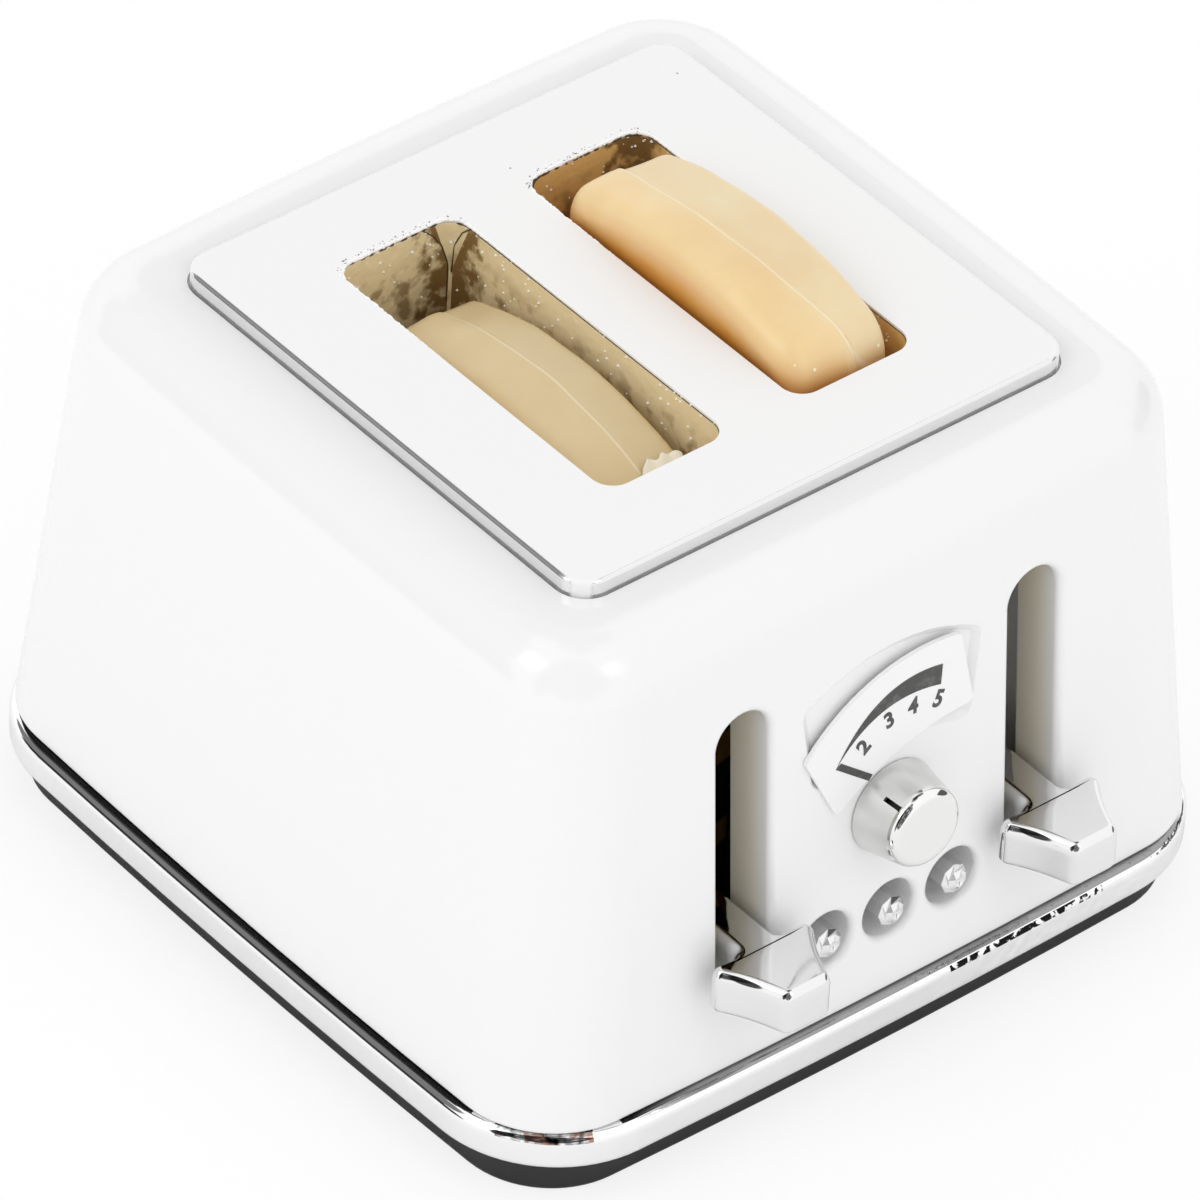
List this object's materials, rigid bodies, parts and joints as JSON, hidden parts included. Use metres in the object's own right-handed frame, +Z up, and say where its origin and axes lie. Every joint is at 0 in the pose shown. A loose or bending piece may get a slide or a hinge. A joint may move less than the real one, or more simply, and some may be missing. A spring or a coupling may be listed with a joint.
{
  "type": "miniature toaster",
  "caption": "Miniature two-slice toaster for a dolls' kitchen, with levers that raise slices of bread, a turning knob and push buttons.",
  "frame": {"origin": "centre of the flat underside of the base plate", "axes": "+Z up, -Y towards the front with the levers and knob, +X to the right seen from the front"},
  "size_m": [0.036, 0.0388, 0.0273],
  "materials": {
    "housing": "warm white gloss lacquer",
    "top_plate": "bright chrome plating on plastic",
    "base_trim": "bright chrome plating on plastic",
    "base_plate": "black, fine matte",
    "screws": "zinc plated",
    "guide_frame": "black, fine matte",
    "scale_plate": "white, printed dark grey",
    "spring": "bare spring steel",
    "tray": "bright chrome plating on plastic",
    "lever": "bright chrome plating on plastic",
    "bread_light": "pale beige, satin",
    "bread_gold": "golden, satin",
    "knob": "bright chrome plating on plastic",
    "clip": "black, fine matte",
    "button": "bright chrome plating on plastic"
  },
  "bodies": {
    "body": {"housing": "housing", "top_plate": "top_plate", "base_trim": "base_trim", "base_plate": "base_plate", "base_screws": "screws", "guide_frame": "guide_frame", "scale_plate": "scale_plate", "button_spring": "spring"},
    "carriage_left": {"tray_left": "tray", "lever_left": "lever", "tray_screw_left": "screws"},
    "carriage_right": {"tray_right": "tray", "lever_right": "lever", "tray_screw_right": "screws"},
    "toast_left": {"bread_left": "bread_light"},
    "toast_right": {"bread_right": "bread_gold"},
    "knob": {"knob": "knob", "knob_clip": "clip"},
    "button_left": {"button_left": "button"},
    "button_middle": {"button_middle": "button"},
    "button_right": {"button_right": "button"}
  },
  "joints": [
    {"name": "lever_left_slide", "type": "slide", "parent": "body", "child": "carriage_left", "axis": [0, 0, 1], "range_m": [0, 0.0093]},
    {"name": "lever_right_slide", "type": "slide", "parent": "body", "child": "carriage_right", "axis": [0, 0, 1], "range_m": [0, 0.0093]},
    {"name": "toast_left_lift", "type": "slide", "parent": "carriage_left", "child": "toast_left", "axis": [0, 0, 1], "range_m": [0, 0.017]},
    {"name": "toast_right_lift", "type": "slide", "parent": "carriage_right", "child": "toast_right", "axis": [0, 0, 1], "range_m": [0, 0.017]},
    {"name": "knob_turn", "type": "hinge", "parent": "body", "child": "knob", "pos_m": [0, -0.01682, 0.012], "axis": [0, 0.9967, -0.0814], "range_deg": [0, 67]},
    {"name": "button_left_push", "type": "slide", "parent": "body", "child": "button_left", "axis": [0, 0.9967, -0.0814], "range_m": [0, 0.0003], "stiffness_N_per_m": 100, "springref_m": -0.0002, "deforming": ["button_spring"]},
    {"name": "button_middle_push", "type": "slide", "parent": "body", "child": "button_middle", "axis": [0, 0.9967, -0.0814], "range_m": [0, 0.0003], "stiffness_N_per_m": 100, "springref_m": -0.0002, "deforming": ["button_spring"]},
    {"name": "button_right_push", "type": "slide", "parent": "body", "child": "button_right", "axis": [0, 0.9967, -0.0814], "range_m": [0, 0.0003], "stiffness_N_per_m": 100, "springref_m": -0.0002, "deforming": ["button_spring"]}
  ]
}
